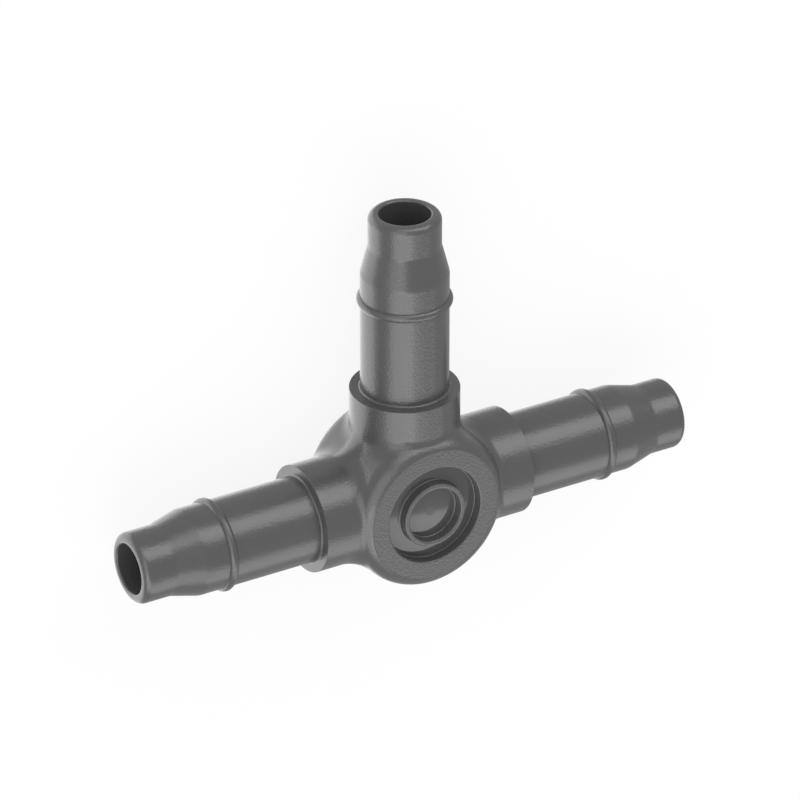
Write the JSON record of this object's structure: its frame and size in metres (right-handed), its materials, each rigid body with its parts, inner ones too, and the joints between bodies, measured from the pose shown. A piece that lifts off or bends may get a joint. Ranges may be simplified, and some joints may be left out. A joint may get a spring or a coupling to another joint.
{
  "type": "drip line tee",
  "caption": "One-piece plastic T fitting for thin drip tubing: a flat round hub with collars and a barbed spigot on each arm, open through run and branch.",
  "frame": {"origin": "centre of the flat back face of the hub, where the hub axis leaves it", "axes": "+X along the straight run, +Y out along the branch, +Z along the hub axis towards the front face with the round recess"},
  "size_m": [0.0352, 0.0225, 0.0069],
  "materials": {
    "body": "satin moulded polymer, charcoal grey"
  },
  "bodies": {
    "root": {"tee": "body"}
  },
  "joints": []
}
